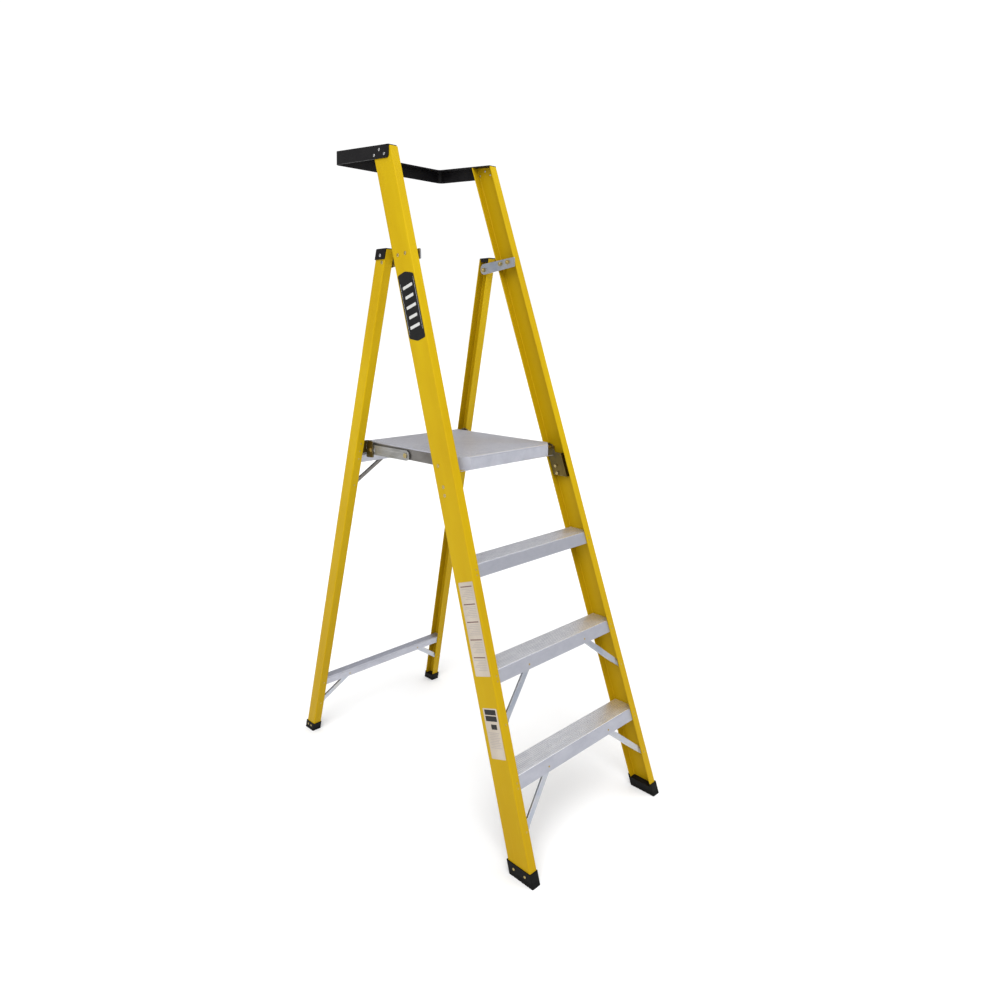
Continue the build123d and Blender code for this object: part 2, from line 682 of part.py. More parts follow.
def link_bracket():
    """An angle on the rear leg: a cheek reaching forward and a tab behind the leg's front flange."""
    outline = Rectangle(rear.x_in(bracket_high) - 3 - link_bracket_in, tab_level_t,
                        align=(Align.MIN, Align.MIN))
    base = Pos(link_bracket_in, rear.y_in(tab_low), tab_low) * outline
    length = (bracket_high - tab_low) * sqrt(1 + rear.dy ** 2)
    tab = extrude(base, length, dir=Vector(0, rear.dy, 1).normalized())
    tip_y = rear.y(bracket_low) - bracket_reach
    cheek = rounded_plate([(tip_y, bracket_low + 2), (rear.y(bracket_low) - 1, bracket_low),
                           (rear.y(bracket_high) + 2, bracket_high), (tip_y, bracket_high - 3)],
                          5.0, link_bracket_in, link_bracket_out)
    root = make_face(Polyline(
        (rear.y(tab_low) - 20, tab_low), (rear.y_in(tab_low) + tab_level_t, tab_low),
        (rear.y_in(bracket_high) + tab_level_t, bracket_high),
        (rear.y(bracket_high) - 20, bracket_high), close=True))
    side = Plane(origin=(link_bracket_in, 0, 0), x_dir=(0, 1, 0), z_dir=(1, 0, 0))
    return tab + cheek + extrude(side * root, bracket_t)


link_bracket_solid = link_bracket()
link_bracket_bolt = hex_bolt(Vector(link_bracket_out, *link_rear_yz), along_x, bracket_t, link_pin_r,
                             head_w=11, head_h=2.6, washer_r=7, washer_h=0.9)
link_bracket_rivets = []
for z in (link_rear_yz[1] - 4, link_rear_yz[1] + 22):
    point = Vector(rear.x(z) - flange_rivet_inset, rear.y(z), z)
    grip = (tab_level_t + rear.flange_t) / sqrt(1 + rear.dy ** 2)
    link_bracket_rivets.append(flange_rivet(point, rear.face_out, grip))


# --- Labels ------------------------------------------------------------------------------------

label_t = 0.4


def label_plate(z_low, z_high, inset_front, inset_rear, tip=0.0, square=1.0):
    """A thin plate on a front rail's web, its ends drawn out by tip: level, or square to the rail."""
    left, right = inset_front, front.depth - inset_rear
    middle = (left + right) / 2
    spots = [(left, z_low), (middle, z_low - tip), (right, z_low),
             (right, z_high), (middle, z_high + tip), (left, z_high)]
    if tip == 0.0:
        spots = [spot for spot in spots if spot[0] != middle]
    # Ends square to the leaning rail drop towards its rear edge.
    slope = square * front.dy / (1 + front.dy ** 2)
    spots = [(u, z - slope * (u - middle)) for u, z in spots]
    corners = [front.on_web(front.y(z) + u, z) for u, z in spots]
    face = make_face(Polyline(*corners, close=True))
    return extrude(face, label_t, dir=front.web_out)


badge = label_plate(1552, 1738, inset_front=6, inset_rear=6, tip=9, square=0.3)
notice = label_plate(577, 846, inset_front=7, inset_rear=16)
caution = label_plate(343, 487, inset_front=9, inset_rear=18)


# --- Fitting pieces to each other, and writing ---------------------------------------------------

front_rail -= (front_shoe_rivets + guard_rivets + all_tread_rivets + all_tread_brace_rivets
               + hinge_front_bolts + bracket_bolts + [deck_pivot_bolt])
front_shoe -= front_shoe_rivets
guard_solid -= guard_rivets + [mirrored(r) for r in guard_rivets]
hinge_plate_solid -= hinge_front_bolts
pivot_bracket_solid -= bracket_bolts + [deck_pivot_bolt]
rear_rail -= (rear_shoe_rivets + rear_cap_rivets + bar_rivets + lower_brace_rivets
              + upper_brace_rivets + link_bracket_rivets + [hinge_pivot_bolt])
rear_shoe -= rear_shoe_rivets
rear_cap_solid -= rear_cap_rivets
link_bracket_solid -= link_bracket_rivets + [link_bracket_bolt]
both_tread_rivets = all_tread_rivets + all_tread_brace_rivets
both_tread_rivets += [mirrored(r) for r in both_tread_rivets]
both_bar_rivets = bar_rivets + lower_brace_rivets + upper_brace_rivets
both_bar_rivets += [mirrored(r) for r in both_bar_rivets]
deck_solid -= deck_rivets + [mirrored(r) for r in deck_rivets]
skirt_solid -= deck_rivets + [knee_pin, drum(deck_pivot_yz, 0, 300, pivot_r + pivot_gap)]
knee_washer -= knee_pin
link_solid -= [drum(knee_yz, 0, 300, knee_pin_r + pivot_gap), link_rear_pin]

add_pair("front_rail", front_rail)
add_pair("front_shoe", front_shoe)
add_group("front_shoe_rivets", front_shoe_rivets)
for number, solid in treads.items():
    add(f"tread_{number}", solid - both_tread_rivets)
for number, solid in tread_braces.items():
    add_pair(f"tread_{number}_brace", solid - all_tread_brace_rivets)
add_group("tread_rivets", all_tread_rivets)
add_group("tread_brace_rivets", all_tread_brace_rivets)
add("guard_rail", guard_solid)
add_group("guard_rivets", guard_rivets)
add_pair("hinge_plate", hinge_plate_solid)
add_group("hinge_plate_bolts", hinge_front_bolts + hinge_front_nuts)
add_group("hinge_plate_spacers", hinge_front_spacers)
add_pair("platform_bracket", pivot_bracket_solid)
add_group("platform_bracket_bolts", bracket_bolts + bracket_nuts)
add_group("platform_pivot_bolts", [deck_pivot_bolt, deck_pivot_nut])
add_group("platform_pivot_spacers", [deck_pivot_spacer])
add("rail_badge", mirrored(badge))
add("notice_label", mirrored(notice))
add("caution_label", mirrored(caution))

add_pair("rear_rail", rear_rail)
add_pair("rear_shoe", rear_shoe)
add_group("rear_shoe_rivets", rear_shoe_rivets)
add_pair("rear_cap", rear_cap_solid)
add_group("rear_cap_rivets", rear_cap_rivets)
add_group("hinge_pivot_bolts", [hinge_pivot_bolt, hinge_pivot_nut])
add_group("hinge_pivot_spacers", [hinge_pivot_spacer])
add("lower_crossbar", lower_bar - both_bar_rivets)
add("upper_crossbar", upper_bar - both_bar_rivets)
add_group("crossbar_rivets", bar_rivets)
add_pair("lower_brace", lower_brace - lower_brace_rivets)
add_pair("upper_brace", upper_brace - upper_brace_rivets)
add_group("rear_brace_rivets", lower_brace_rivets + upper_brace_rivets)
add_pair("link_bracket", link_bracket_solid)
add_group("link_bracket_rivets", link_bracket_rivets)
add_group("link_bracket_bolts", [link_bracket_bolt])

add("platform_deck", deck_solid)
add_pair("platform_skirt", skirt_solid)
add_group("platform_deck_rivets", deck_rivets)
add_group("link_knee_pins", [knee_pin])
add_group("link_knee_washers", [knee_washer])

add_pair("spreader_link", link_solid)
add("link_rear_pin_right", link_rear_pin)
add("link_rear_pin_left", mirrored(link_rear_pin))

if __name__ == "__main__":
    os.makedirs("parts", exist_ok=True)
    for name, shape in nodes.items():
        export_step(shape, f"parts/{name}.step")
    print(len(nodes), "nodes")
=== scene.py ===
"""Looks for the folding platform step ladder: materials, rounded edges, fasteners, labels, light."""

import json
import math

import bmesh
import bpy
import numpy as np
from mathutils import Matrix, Vector


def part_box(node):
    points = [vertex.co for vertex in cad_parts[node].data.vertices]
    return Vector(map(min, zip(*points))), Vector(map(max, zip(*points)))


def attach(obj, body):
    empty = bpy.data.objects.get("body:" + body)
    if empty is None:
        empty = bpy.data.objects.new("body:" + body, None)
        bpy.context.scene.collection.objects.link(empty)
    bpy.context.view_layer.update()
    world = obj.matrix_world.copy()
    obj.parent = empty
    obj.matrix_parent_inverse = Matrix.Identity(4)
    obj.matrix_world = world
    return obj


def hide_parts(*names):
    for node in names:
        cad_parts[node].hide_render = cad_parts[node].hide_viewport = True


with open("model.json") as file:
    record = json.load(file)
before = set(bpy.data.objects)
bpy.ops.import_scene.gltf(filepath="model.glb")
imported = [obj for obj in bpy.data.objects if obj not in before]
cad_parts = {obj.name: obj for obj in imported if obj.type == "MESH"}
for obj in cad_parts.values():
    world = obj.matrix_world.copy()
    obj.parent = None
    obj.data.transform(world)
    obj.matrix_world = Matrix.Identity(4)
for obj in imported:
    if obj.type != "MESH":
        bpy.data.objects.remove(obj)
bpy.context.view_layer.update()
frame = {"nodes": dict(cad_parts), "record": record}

MM = 0.001
NODES = frame["nodes"]
BODY_OF = {node: body for body, members in frame["record"]["behaviour"]["bodies"].items() for node in members}
SLOT_OF = {part["node"]: part["material_slot"] for part in frame["record"]["subparts"]}


# --- Camera, light and floor --------------------------------------------------------------------

CAMERA_PLACE = (-1.649, -1.830, 1.5805)
CAMERA_TURN = (76.71, -0.08, -44.70)
CAMERA_LENS = 26.18
AMBIENT, BACKDROP = 0.45, 1.05


def make_camera():
    data = bpy.data.cameras.new("camera")
    data.sensor_width = 36.0
    data.lens = CAMERA_LENS
    camera = bpy.data.objects.new("camera", data)
    camera.location = CAMERA_PLACE
    camera.rotation_euler = [math.radians(turn) for turn in CAMERA_TURN]
    bpy.context.scene.collection.objects.link(camera)
    bpy.context.scene.camera = camera


def soft_sun(name, direction, strength, spread, tint=(1.0, 1.0, 1.0)):
    """An even, very soft light that comes from a direction; spread in degrees softens its shadows."""
    data = bpy.data.lights.new(name, "SUN")
    data.energy = strength
    data.angle = math.radians(spread)
    data.color = tint
    light = bpy.data.objects.new(name, data)
    light.location = Vector(direction) * 4.0
    light.rotation_euler = Vector(direction).to_track_quat("Z", "Y").to_euler()
    bpy.context.scene.collection.objects.link(light)


def make_studio():
    """A white sweep: a white backdrop, dimmer light from all round and two broad soft lights."""
    scene = bpy.context.scene
    scene.view_settings.view_transform = "Standard"
    world = bpy.data.worlds.new("studio")
    world.use_nodes = True
    tree = world.node_tree
    background = tree.nodes["Background"]
    background.inputs["Color"].default_value = (1.0, 1.0, 1.0, 1.0)
    seen = tree.nodes.new("ShaderNodeLightPath")
    level = tree.nodes.new("ShaderNodeMapRange")
    level.inputs["To Min"].default_value = AMBIENT
    level.inputs["To Max"].default_value = BACKDROP
    tree.links.new(seen.outputs["Is Camera Ray"], level.inputs["Value"])
    tree.links.new(level.outputs["Result"], background.inputs["Strength"])
    scene.world = world
    soft_sun("key", (-0.62, -0.50, 0.70), 2.3, 50)
    soft_sun("top", (0.25, -0.15, 1.0), 1.5, 80)

    mesh = bpy.data.meshes.new("floor")
    half = 40.0
    mesh.from_pydata([(-half, -half, 0), (half, -half, 0), (half, half, 0), (-half, half, 0)], [], [(0, 1, 2, 3)])
    floor = bpy.data.objects.new("floor", mesh)
    bpy.context.scene.collection.objects.link(floor)
    floor.data.materials.append(floor_paint())


# --- Node-based materials -----------------------------------------------------------------------


class Graph:
    """A material built up node by node. Patterns follow the grain that every piece carries."""

    def __init__(self, name, color, roughness, metallic=0.0, **sockets):
        self.material = bpy.data.materials.new(name)
        self.material.use_nodes = True
        self.tree = self.material.node_tree
        self.tree.nodes.clear()
        self.shader = self.add("ShaderNodeBsdfPrincipled")
        output = self.add("ShaderNodeOutputMaterial")
        self.tree.links.new(self.shader.outputs["BSDF"], output.inputs["Surface"])
        self.set("Base Color", (*color, 1.0))
        self.set("Roughness", roughness)
        self.set("Metallic", metallic)
        for socket, value in sockets.items():
            self.set(socket.replace("_", " "), value)

    def add(self, kind, **settings):
        node = self.tree.nodes.new(kind)
        for name, value in settings.items():
            setattr(node, name, value)
        return node

    def feed(self, socket, value):
        """Links an output to a socket, or sets the socket to a plain value."""
        if isinstance(value, bpy.types.NodeSocket):
            self.tree.links.new(value, socket)
        else:
            socket.default_value = value

    def set(self, name, value):
        self.feed(self.shader.inputs[name], value)

    def grain(self, scale=(1.0, 1.0, 1.0)):
        """The piece's own coordinates in metres: along its length, across it, and through it."""
        attribute = self.add("ShaderNodeAttribute", attribute_name="grain")
        mapping = self.add("ShaderNodeMapping")
        self.feed(mapping.inputs["Vector"], attribute.outputs["Vector"])
        mapping.inputs["Scale"].default_value = scale
        return mapping.outputs["Vector"]

    def length_along(self):
        """The place along the piece's length, in metres."""
        parts = self.add("ShaderNodeSeparateXYZ")
        self.feed(parts.inputs["Vector"], self.grain())
        return parts.outputs["X"]

    def mark(self, name):
        """A per-face mark: edge for rounded edges, top for worn tops, and one for a channel's inside, where
        painted shade goes.
        """
        return self.add("ShaderNodeAttribute", attribute_name=name).outputs["Fac"]

    def noise(self, vector, scale, detail=3.0, rough=0.55):
        node = self.add("ShaderNodeTexNoise")
        self.feed(node.inputs["Vector"], vector)
        node.inputs["Scale"].default_value = scale
        node.inputs["Detail"].default_value = detail
        node.inputs["Roughness"].default_value = rough
        return node.outputs["Fac"]

    def cells(self, vector, scale, feature="F1"):
        node = self.add("ShaderNodeTexVoronoi", feature=feature)
        self.feed(node.inputs["Vector"], vector)
        node.inputs["Scale"].default_value = scale
        return node.outputs["Distance"]

    def remap(self, value, low, high, to_low=0.0, to_high=1.0):
        node = self.add("ShaderNodeMapRange")
        for name, number in zip(("Value", "From Min", "From Max", "To Min", "To Max"),
                                (value, low, high, to_low, to_high)):
            self.feed(node.inputs[name], number)
        return node.outputs["Result"]

    def math(self, operation, a, b):
        node = self.add("ShaderNodeMath", operation=operation)
        self.feed(node.inputs[0], a)
        self.feed(node.inputs[1], b)
        return node.outputs[0]

    def blend(self, factor, a, b):
        node = self.add("ShaderNodeMix", data_type="RGBA")
        self.feed(node.inputs["Factor"], factor)
        for socket, value in ((node.inputs[6], a), (node.inputs[7], b)):
            self.feed(socket, value if isinstance(value, bpy.types.NodeSocket) else (*value, 1.0))
        return node.outputs[2]

    def bump(self, height, depth, strength=1.0, under=None):
        node = self.add("ShaderNodeBump")
        node.inputs["Strength"].default_value = strength
        node.inputs["Distance"].default_value = depth
        self.feed(node.inputs["Height"], height)
        if under is not None:
            self.feed(node.inputs["Normal"], under)
        return node.outputs["Normal"]


def floor_paint():
    graph = Graph("floor", (0.90, 0.90, 0.90), 0.9, Specular_IOR_Level=0.1)
    return graph.material


def fibreglass():
    """Yellow pultruded profile: fibres run along it, the channel insides carry painted shade, painted
    shade darkens the rails towards their feet, and handling has rubbed the edges pale."""
    graph = Graph("fibreglass", (0.55, 0.37, 0.003), 0.46, Specular_IOR_Level=0.08)
    body, deep, pale = (0.565, 0.388, 0.003), (0.480, 0.305, 0.002), (0.660, 0.500, 0.036)
    # Two darker tones: one for painted shade inside the channels (the scuffs reuse it), one for painted shade
    # towards the feet.
    inside_shade_and_scuff, floor_shade = (0.425, 0.270, 0.002), (0.340, 0.198, 0.002)
    fibre = graph.noise(graph.grain((6, 420, 420)), 1.0, 4.0, 0.6)
    cloud = graph.noise(graph.grain((2.2, 9, 9)), 1.0, 3.0)
    color = graph.blend(graph.remap(cloud, 0.30, 0.72), body, deep)
    # Painted shade on the faces that look into the channel's hollow.
    color = graph.blend(graph.math("MULTIPLY", graph.mark("inner"), 0.85), color, inside_shade_and_scuff)
    # Painted shade: darker towards the feet, fading out 1.5 m up the piece.
    color = graph.blend(graph.remap(graph.length_along(), 0.0, 1.5, 0.62, 0.0), color, floor_shade)
    color = graph.blend(graph.remap(fibre, 0.60, 0.80, 0.0, 0.26), color, pale)
    rub = graph.remap(graph.noise(graph.grain((30, 90, 90)), 1.0, 4.0), 0.42, 0.70)
    color = graph.blend(graph.math("MULTIPLY", graph.mark("edge"), rub), color, pale)
    scuff = graph.remap(graph.noise(graph.grain((46, 900, 500)), 1.0, 2.0, 0.4), 0.70, 0.78, 0.0, 0.5)
    color = graph.blend(scuff, color, inside_shade_and_scuff)
    graph.set("Base Color", color)
    graph.set("Roughness", graph.remap(cloud, 0.2, 0.8, 0.36, 0.54))
    weave = graph.bump(fibre, 0.00012, 0.5)
    graph.set("Normal", graph.bump(graph.noise(graph.grain(), 900.0, 2.0), 0.00005, 0.4, weave))
    return graph.material


def mill_aluminium(name, color, dull, shine, metallic=0.9):
    """Extruded aluminium: die lines along it, dull oxide in random patches, rubbed bright on top."""
    graph = Graph(name, color, 0.4, metallic)
    lines = graph.noise(graph.grain((1.2, 1500, 1500)), 1.0, 3.0, 0.6)
    stain = graph.noise(graph.grain((14, 26, 26)), 1.0, 5.0, 0.62)
    tone = graph.blend(graph.remap(stain, 0.34, 0.74), color, dull)
    worn = graph.math("MAXIMUM", graph.mark("top"), graph.mark("edge"))
    rub = graph.remap(graph.noise(graph.grain((24, 60, 60)), 1.0, 4.0), 0.34, 0.66, 0.72, 1.0)
    worn = graph.math("MULTIPLY", worn, rub)
    graph.set("Base Color", graph.blend(worn, tone, shine))
    rough = graph.remap(stain, 0.25, 0.8, 0.40, 0.58)
    graph.set("Roughness", graph.math("SUBTRACT", rough, graph.math("MULTIPLY", worn, 0.14)))
    drawn = graph.bump(lines, 0.00006, 0.55)
    graph.set("Normal", graph.bump(graph.noise(graph.grain(), 420.0, 4.0), 0.00006, 0.3, drawn))
    return graph.material


def zinc_plate(name, color, cool, warm, rough=0.34):
    """Bright zinc on pressed steel: a fine satin with drifting cool and warm tints."""
    graph = Graph(name, color, rough, 1.0)
    drift = graph.noise(graph.grain((16, 22, 22)), 1.0, 4.0)
    tone = graph.blend(graph.remap(drift, 0.34, 0.52), cool, color)
    tone = graph.blend(graph.remap(drift, 0.54, 0.74), tone, warm)
    # The rounded edges are painted pale: a painted edge highlight.
    tone = graph.blend(graph.math("MULTIPLY", graph.mark("edge"), 0.6), tone, (0.86, 0.86, 0.87))
    graph.set("Base Color", tone)
    fine = graph.noise(graph.grain((60, 700, 700)), 1.0, 3.0)
    graph.set("Roughness", graph.remap(fine, 0.3, 0.7, rough - 0.07, rough + 0.10))
    graph.set("Normal", graph.bump(fine, 0.00005, 0.4))
    return graph.material


def powder_coat():
    """Black baked powder: a tight orange peel, rubbed grey where hands take hold."""
    graph = Graph("powder_coat", (0.006, 0.006, 0.007), 0.42, Specular_IOR_Level=0.16)
    peel = graph.noise(graph.grain(), 620.0, 2.0, 0.5)
    hands = graph.noise(graph.grain((9, 14, 14)), 1.0, 4.0)
    color = graph.blend(graph.remap(hands, 0.45, 0.75), (0.0055, 0.0050, 0.0060), (0.0110, 0.0100, 0.0105))
    rub = graph.remap(graph.noise(graph.grain(), 70.0, 4.0), 0.44, 0.72, 0.0, 0.8)
    color = graph.blend(graph.math("MULTIPLY", graph.mark("edge"), rub), color, (0.050, 0.048, 0.047))
    graph.set("Base Color", color)
    graph.set("Roughness", graph.remap(hands, 0.25, 0.75, 0.34, 0.50))
    graph.set("Normal", graph.bump(peel, 0.00018, 0.6))
    return graph.material


def moulded(name, color, rough, grain_size, depth, dust):
    """A moulded rubber or plastic with a spark-eroded grain and dust caught in it."""
    graph = Graph(name, color, rough, Specular_IOR_Level=0.13)
    eroded = graph.cells(graph.grain(), grain_size)
    patch = graph.noise(graph.grain((20, 30, 30)), 1.0, 5.0, 0.65)
    graph.set("Base Color", graph.blend(graph.remap(patch, 0.50, 0.78, 0.0, 0.7), color, dust))
    graph.set("Roughness", graph.remap(patch, 0.3, 0.8, rough - 0.06, rough + 0.14))
    graph.set("Normal", graph.bump(eroded, depth, 0.6))
    return graph.material


def printed_film(name, color, tint, rough):
    """A printed self-adhesive film: a faint mottle of ink and a slight wrinkle."""
    graph = Graph(name, color, rough, Specular_IOR_Level=0.2)
    ink = graph.noise(graph.grain(), 260.0, 3.0)
    fade = graph.noise(graph.grain((8, 16, 16)), 1.0, 4.0)
    tone = graph.blend(graph.remap(fade, 0.35, 0.75, 0.0, 0.6), color, tint)
    graph.set("Base Color", graph.blend(graph.remap(ink, 0.45, 0.80, 0.0, 0.25), tone, tint))
    graph.set("Roughness", graph.remap(fade, 0.3, 0.7, rough - 0.06, rough + 0.08))
    graph.set("Normal", graph.bump(fade, 0.0004, 0.3))
    return graph.material


PAINTS = {
    "rail_yellow": fibreglass(),
    "tread_aluminium": mill_aluminium("tread_aluminium", (0.50, 0.51, 0.57), (0.43, 0.44, 0.50),
                                      (0.96, 0.96, 0.97)),
    "skirt_aluminium": mill_aluminium("skirt_aluminium", (0.22, 0.21, 0.20), (0.14, 0.13, 0.12),
                                      (0.36, 0.36, 0.36)),
    "link_aluminium": mill_aluminium("link_aluminium", (0.38, 0.38, 0.38), (0.25, 0.25, 0.24),
                                     (0.60, 0.60, 0.61)),
    "zinc_steel": zinc_plate("zinc_steel", (0.50, 0.52, 0.57), (0.41, 0.45, 0.53), (0.52, 0.50, 0.46)),
    # dark_steel is a dark olive with a warm yellow cast: partly the brackets' own dark finish, partly painted
    # shade and a painted reflection of the yellow rails.
    "dark_steel": zinc_plate("dark_steel", (0.12, 0.090, 0.030), (0.075, 0.062, 0.035), (0.19, 0.135, 0.04),
                             0.46),
    "guard_black": powder_coat(),
    "cap_plastic": moulded("cap_plastic", (0.006, 0.005, 0.005), 0.44, 1500.0, 0.00008, (0.020, 0.019, 0.018)),
    "shoe_rubber": moulded("shoe_rubber", (0.003, 0.003, 0.003), 0.60, 1000.0, 0.00012, (0.014, 0.012, 0.011)),
    "rivet_metal": zinc_plate("rivet_metal", (0.50, 0.50, 0.49), (0.40, 0.40, 0.41), (0.58, 0.55, 0.48), 0.34),
    "fastener_zinc": zinc_plate("fastener_zinc", (0.46, 0.35, 0.11), (0.38, 0.31, 0.15), (0.50, 0.34, 0.07),
                                0.38),
    "badge_black": printed_film("badge_black", (0.006, 0.006, 0.006), (0.014, 0.013, 0.014), 0.36),
    "label_paper": printed_film("label_paper", (0.50, 0.44, 0.37), (0.36, 0.31, 0.25), 0.46),
}
# The deck gets a second copy of the tread paint, less metallic so its top reads brighter under the lamps: painted
# light on the deck top.
LIGHTER_DECK_PAINT = mill_aluminium("deck_aluminium_lighter", (0.50, 0.51, 0.57), (0.43, 0.44, 0.50), (0.94, 0.93, 0.93), 0.80)
INKS = {
    "white": printed_film("ink_white", (0.62, 0.62, 0.60), (0.46, 0.46, 0.45), 0.38),
    "grey": printed_film("ink_grey", (0.30, 0.27, 0.26), (0.38, 0.34, 0.32), 0.44),
    "dark": printed_film("ink_dark", (0.13, 0.070, 0.065), (0.20, 0.130, 0.12), 0.44),
    "black": printed_film("ink_black", (0.009, 0.009, 0.009), (0.022, 0.021, 0.020), 0.40),
}


# --- Meshes -------------------------------------------------------------------------------------


def grain_axes(bm):
    """The piece's length, width and thickness directions: its longest edge and its widest face."""
    longest = max(bm.edges, key=lambda edge: edge.calc_length())
    along = (longest.verts[1].co - longest.verts[0].co).normalized()
    if max(along, key=abs) < 0:
        along.negate()
    widest = max(bm.faces, key=lambda face: face.calc_area() * (1 - abs(face.normal.dot(along))))
    through = (widest.normal - along * widest.normal.dot(along)).normalized()
    return along, through.cross(along), through


def finish_piece(name, bm, body, paint, slot, nodes=()):
    """Turns a bmesh into a piece that carries its grain, rides on a body and stands for CAD nodes."""
    axes = grain_axes(bm)
    grain = bm.verts.layers.float_vector.new("grain")
    for vert in bm.verts:
        vert[grain] = [vert.co.dot(axis) for axis in axes]
    for face in bm.faces:
        face.smooth = True
    mesh = bpy.data.meshes.new(name)
    bm.to_mesh(mesh)
    bm.free()
    mesh.materials.append(paint)
    piece = bpy.data.objects.new(name, mesh)
    bpy.context.scene.collection.objects.link(piece)
    flats = piece.modifiers.new("flats", "WEIGHTED_NORMAL")
    flats.weight = 80
    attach(piece, body)
    if nodes:
        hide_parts(*nodes)
    return piece


def welded(node):
    """A CAD node's mesh as a bmesh with its facets joined."""
    bm = bmesh.new()
    bm.from_mesh(NODES[node].data)
    bmesh.ops.remove_doubles(bm, verts=bm.verts, dist=0.001 * MM)
    bmesh.ops.dissolve_limit(bm, angle_limit=math.radians(0.3), verts=bm.verts, edges=bm.edges)
    return bm


def mark_shaded_inside(bm, layer):
    """Marks the faces of a channel rail that look into its hollow, where the fibreglass paints shade."""
    _, across, out = grain_axes(bm)
    first = bm.faces[:][0].calc_center_bounds()
    if out.x * first.x < 0:
        out = -out
    spans = [[vert.co.dot(axis) for vert in bm.verts] for axis in (across, out)]
    middles = [(min(span) + max(span)) / 2 for span in spans]
    for face in bm.faces:
        place = face.calc_center_bounds()
        to_middle = (middles[0] - place.dot(across)) * face.normal.dot(across)
        flange = abs(face.normal.dot(across)) > 0.8 and to_middle > 0
        web = face.normal.dot(out) < -0.9 and place.dot(out) > middles[1]
        face[layer] = float(flange or web)


def groove(bm, height, depth=0.8 * MM, half=1.1 * MM):
    """Runs a shallow groove round the outer skin of a moulding, at one height."""
    for z in (height - half, height - half / 2, height + half / 2, height + half):
        everything = bm.verts[:] + bm.edges[:] + bm.faces[:]
        bmesh.ops.bisect_plane(bm, geom=everything, plane_co=(0, 0, z), plane_no=(0, 0, 1), dist=1e-7)
    bm.normal_update()
    ring = [vert for vert in bm.verts if abs(vert.co.z - height) < 0.6 * half]
    middle = sum((vert.co for vert in ring), Vector()) / len(ring)
    for vert in ring:
        way = Vector((vert.normal.x, vert.normal.y, 0.0))
        if way.length > 0.5 and way.dot(vert.co - middle) > 0:
            vert.co -= way.normalized() * depth


def refined(node, width, sharp=28.0, segments=2, top=None, corner=0.0):
    """A copy of a CAD node with its sharp edges rounded. top marks the faces that wear bright, and
    corner rounds the plan of a thin film."""
    bm = welded(node)
    if corner:
        short = [edge for edge in bm.edges if edge.calc_length() < FILM_EDGE]
        bmesh.ops.bevel(bm, geom=short, offset=corner, segments=5, profile=0.5, affect="EDGES")
    marks = {name: bm.faces.layers.float.new(name) for name in ("edge", "top", "inner")}
    if top is not None:
        for face in bm.faces:
            face[marks["top"]] = float(face.normal.z > 0.9 and face.calc_center_median().z > top)
    # The channel insides are marked for painted shade.
    if SLOT_OF[node] == "rail_yellow":
        mark_shaded_inside(bm, marks["inner"])
    edges = [edge for edge in bm.edges
             if len(edge.link_faces) == 2 and edge.calc_face_angle(0.0) > math.radians(sharp)]
    made = bmesh.ops.bevel(bm, geom=edges, offset=width, segments=segments, profile=0.5,
                           affect="EDGES", clamp_overlap=True, miter_outer="ARC")
    for face in made["faces"]:
        face[marks["edge"]] = 1.0
    for height in GROOVES.get(node.rsplit("_", 1)[0], ()):
        groove(bm, height * MM)
    slot = SLOT_OF[node]
    # The deck takes the brighter copy of the tread paint, painted light.
    paint = LIGHTER_DECK_PAINT if node == "platform_deck" else PAINTS[slot]
    return finish_piece(node + ".looks", bm, BODY_OF[node], paint, slot, [node])


EDGE_WIDTH = {
    "rail_yellow": 0.5, "tread_aluminium": 0.3, "skirt_aluminium": 0.35, "link_aluminium": 0.5,
    "zinc_steel": 0.4, "dark_steel": 0.4, "guard_black": 0.7, "cap_plastic": 0.8, "shoe_rubber": 0.9,
    "fastener_zinc": 0.25, "badge_black": 0.1, "label_paper": 0.1,
}


GROOVES = {"front_shoe": (5.5, 9.5, 13.5), "rear_shoe": (4.5, 8.0, 11.5)}
FILM_CORNER = {"badge_black": 6.0, "label_paper": 3.0}
FILM_EDGE = 1.0 * MM
TOP_SKIN = 1.5 * MM


def make_refined():
    for node, slot in SLOT_OF.items():
        if node.endswith("_rivets"):
            continue
        top = None
        if slot == "tread_aluminium" and not node.endswith("_crossbar"):
            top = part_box(node)[1].z - TOP_SKIN
        refined(node, EDGE_WIDTH[slot] * MM, top=top, corner=FILM_CORNER.get(slot, 0.0) * MM)


# --- Rivets -------------------------------------------------------------------------------------


def islands(bm):
    """The separate solids of a mesh, each as a list of its faces."""
    left = set(bm.faces)
    while left:
        stack = [left.pop()]
        found = []
        while stack:
            face = stack.pop()
            found.append(face)
            near = {other for edge in face.edges for other in edge.link_faces} & left
            left -= near
            stack.extend(near)
        yield found


def turned_shape(faces):
    """For a solid of revolution: its seat, its direction towards the head, and its profile's sizes."""
    spread = np.zeros((3, 3))
    for face in faces:
        normal = np.array(face.normal)
        spread += face.calc_area() * np.outer(normal, normal)
    values, vectors = np.linalg.eigh(spread)
    odd = 0 if values[1] - values[0] > values[2] - values[1] else 2
    axis = vectors[:, odd]
    points = np.array([vert.co for vert in {vert for face in faces for vert in face.verts}])
    centre = points.mean(axis=0)
    heights = (points - centre) @ axis
    radii = np.linalg.norm(points - centre - np.outer(heights, axis), axis=1)
    # The head is the widest part, so it tells which way the rivet faces.
    wide = heights[radii > 0.97 * radii.max()]
    if wide.mean() < 0:
        axis, heights, wide = -axis, -heights, -wide
    seat = wide.min()
    return {
        "seat": Vector(centre + axis * seat), "out": Vector(axis), "head_r": float(radii.max()),
        "head_h": float(heights.max() - seat), "grip": float(seat - heights.min()),
    }


